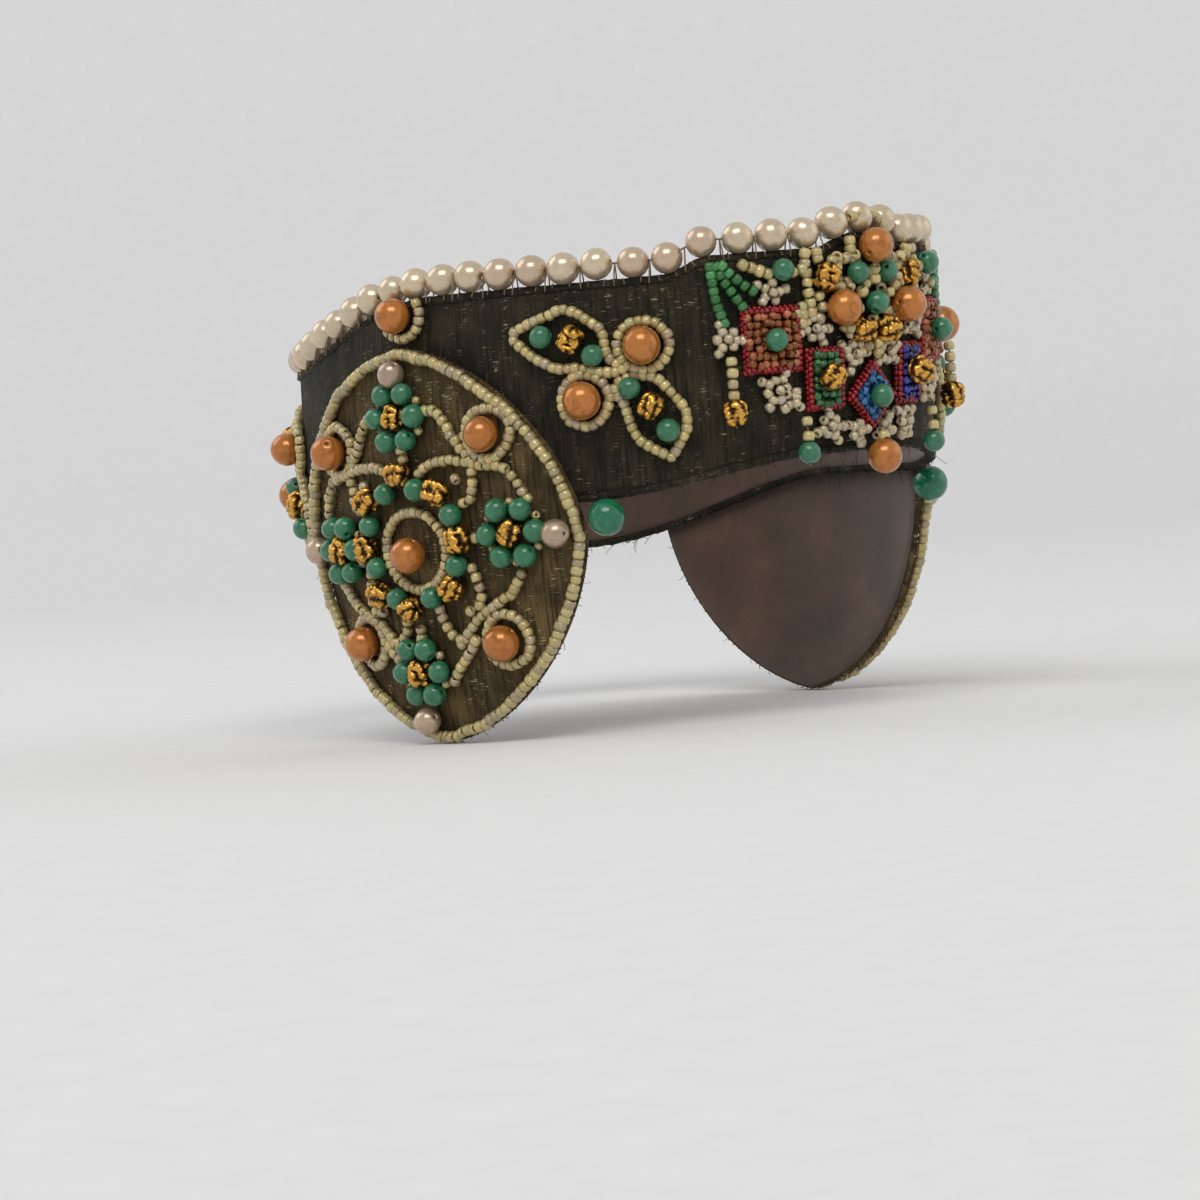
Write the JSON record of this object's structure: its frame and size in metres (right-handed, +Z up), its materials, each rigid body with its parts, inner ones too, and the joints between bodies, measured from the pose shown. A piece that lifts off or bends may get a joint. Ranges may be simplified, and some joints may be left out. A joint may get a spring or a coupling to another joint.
{
  "type": "beaded headband",
  "caption": "Beaded cloth headband with pearl edging, embroidered front garland, hinged ear medallions and swinging bead drops",
  "frame": {"origin": "centre of the head opening, level with the middle of the band at the sides", "axes": "+Z up along the wearer's head, -Y towards the wearer's face, -X towards the wearer's right"},
  "size_m": [0.1794, 0.2091, 0.1368],
  "materials": {
    "metal_cloth": "woven metal thread, worn satin",
    "stiffener_cloth": "starched buckram",
    "silk_lining": "matt silk",
    "binding": "rolled cloth edge",
    "waxed_thread": "waxed cotton",
    "edging_pearl": "pearl lustre",
    "peak_pearl": "pearl lustre",
    "lustre_seed": "cream lustre",
    "coral": "glossy, mottled",
    "turquoise": "glossy",
    "gilt_nugget": "gilt, crumpled",
    "blue_seeds": "glossy seed beads",
    "violet_seeds": "glossy seed beads",
    "green_seeds": "glossy seed beads",
    "red_seeds": "glossy seed beads",
    "white_seeds": "pearly seed beads",
    "frond_seeds": "glossy seed beads",
    "jade": "polished",
    "press_stud_steel": "tarnished"
  },
  "bodies": {
    "band": {"band_cover": "metal_cloth", "band_stiffener": "stiffener_cloth", "band_lining": "silk_lining", "top_binding": "binding", "bottom_binding": "binding", "pearl_thread": "waxed_thread", "pearl_edging": "edging_pearl", "peak_pearls": "peak_pearl", "pearl_stitches": "waxed_thread", "front_spray_seeds": "lustre_seed", "back_spray_seeds": "lustre_seed", "spray_coral_pearls": "coral", "spray_turquoise_beads": "turquoise", "spray_gold_nuggets": "gilt_nugget", "crest_loops": "lustre_seed", "crest_coral_pearls": "coral", "garland_blue_panel": "blue_seeds", "right_green_panel": "green_seeds", "left_violet_panel": "violet_seeds", "right_red_panel": "red_seeds", "left_red_panel": "red_seeds", "right_blossoms": "white_seeds", "left_blossoms": "white_seeds", "fronds": "frond_seeds", "crown_swags": "lustre_seed", "crown_coral_pearls": "coral", "crown_turquoise_beads": "turquoise", "crown_gold_nuggets": "gilt_nugget", "stud_sockets": "press_stud_steel"},
    "right_medallion": {"right_medallion_cover": "metal_cloth", "right_medallion_stiffener": "stiffener_cloth", "right_medallion_lining": "silk_lining", "right_medallion_border": "lustre_seed", "right_medallion_rings": "lustre_seed", "right_medallion_tendrils": "lustre_seed", "right_medallion_corals": "coral", "right_medallion_turquoises": "turquoise", "right_medallion_nuggets": "gilt_nugget", "right_medallion_pearls": "edging_pearl"},
    "left_medallion": {"left_medallion_cover": "metal_cloth", "left_medallion_stiffener": "stiffener_cloth", "left_medallion_lining": "silk_lining", "left_medallion_border": "lustre_seed", "left_medallion_rings": "lustre_seed", "left_medallion_tendrils": "lustre_seed", "left_medallion_corals": "coral", "left_medallion_turquoises": "turquoise", "left_medallion_nuggets": "gilt_nugget", "left_medallion_pearls": "edging_pearl"},
    "forehead_drop": {"forehead_coral_drop": "coral"},
    "right_turquoise_drop": {"right_turquoise_drop": "turquoise"},
    "left_turquoise_drop": {"left_turquoise_drop": "turquoise"},
    "right_gold_drop": {"right_gold_drop": "gilt_nugget"},
    "left_gold_drop": {"left_gold_drop": "gilt_nugget"},
    "right_jade_drop": {"right_jade_drop": "jade"},
    "left_jade_drop": {"left_jade_drop": "jade"},
    "closing_tab": {"closing_tab": "metal_cloth", "tab_studs": "press_stud_steel"}
  },
  "joints": [
    {"name": "right_medallion_hinge", "type": "hinge", "parent": "band", "child": "right_medallion", "pos_m": [-0.07993, -0.00164, 0.00908], "axis": [-0.0141, 0.9999, 0], "range_deg": [0, 30]},
    {"name": "left_medallion_hinge", "type": "hinge", "parent": "band", "child": "left_medallion", "pos_m": [0.07993, -0.00164, 0.00908], "axis": [-0.0141, -0.9999, 0], "range_deg": [0, 30]},
    {"name": "right_turquoise_drop_swing", "type": "hinge", "parent": "band", "child": "right_turquoise_drop", "pos_m": [-0.025, -0.09628, -0.01845], "axis": [-0.9353, 0.3539, 0], "range_deg": [0, 60]},
    {"name": "left_turquoise_drop_swing", "type": "hinge", "parent": "band", "child": "left_turquoise_drop", "pos_m": [0.025, -0.09628, -0.01845], "axis": [-0.9353, -0.3539, 0], "range_deg": [0, 60]},
    {"name": "right_gold_drop_swing", "type": "hinge", "parent": "band", "child": "right_gold_drop", "pos_m": [-0.04349, -0.08813, -0.00133], "axis": [-0.7996, 0.6005, 0], "range_deg": [0, 60]},
    {"name": "left_gold_drop_swing", "type": "hinge", "parent": "band", "child": "left_gold_drop", "pos_m": [0.04349, -0.08813, -0.00133], "axis": [-0.7996, -0.6005, 0], "range_deg": [0, 60]},
    {"name": "right_jade_drop_swing", "type": "hinge", "parent": "band", "child": "right_jade_drop", "pos_m": [-0.06493, -0.05876, -0.03451], "axis": [-0.5031, 0.8642, 0], "range_deg": [0, 60]},
    {"name": "left_jade_drop_swing", "type": "hinge", "parent": "band", "child": "left_jade_drop", "pos_m": [0.06493, -0.05876, -0.03451], "axis": [-0.5031, -0.8642, 0], "range_deg": [0, 60]},
    {"name": "forehead_drop_swing", "type": "hinge", "parent": "band", "child": "forehead_drop", "pos_m": [0, -0.10045, -0.02422], "axis": [-1, 0, 0], "range_deg": [0, 60]},
    {"name": "closing_tab_hinge", "type": "hinge", "parent": "band", "child": "closing_tab", "pos_m": [-0.01466, 0.0982, -0.02456], "axis": [0, 0, 1], "range_deg": [0, 60]}
  ]
}
